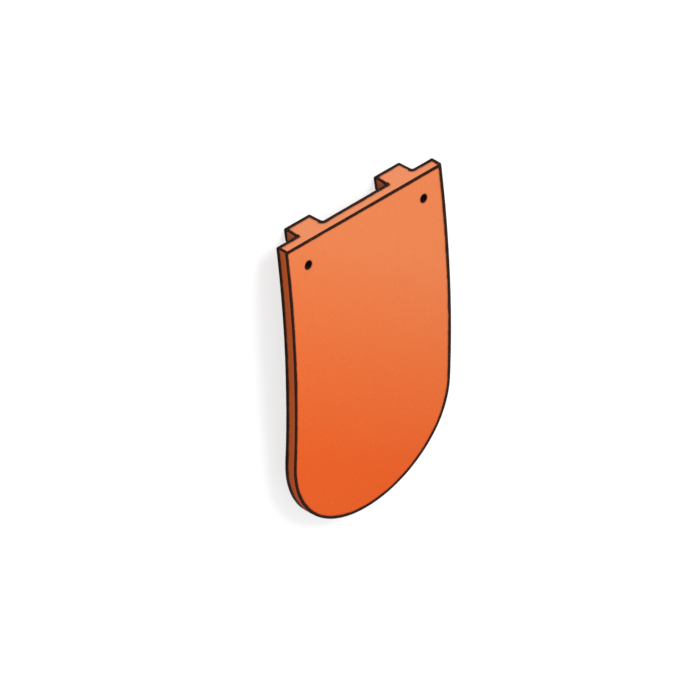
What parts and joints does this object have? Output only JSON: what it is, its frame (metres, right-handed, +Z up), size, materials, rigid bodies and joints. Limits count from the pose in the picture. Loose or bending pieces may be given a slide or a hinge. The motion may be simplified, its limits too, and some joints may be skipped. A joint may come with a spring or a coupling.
{
  "type": "clay plain roof tile",
  "caption": "Flat clay roof tile with a half-round tail, bent slightly along its length, with hanging nibs behind the head and nail holes through it.",
  "frame": {"origin": "bottom centre of the bounding box: the floor under the middle of the tile", "axes": "+Y to the head, where the nibs are; +X to the right seen from above with the head up; +Z up, out of the face"},
  "size_m": [0.16, 0.2657, 0.0265],
  "materials": {
    "fired_clay": "matt, unglazed, sanded smooth"
  },
  "bodies": {
    "root": {"plain_tile": "fired_clay"}
  },
  "joints": []
}
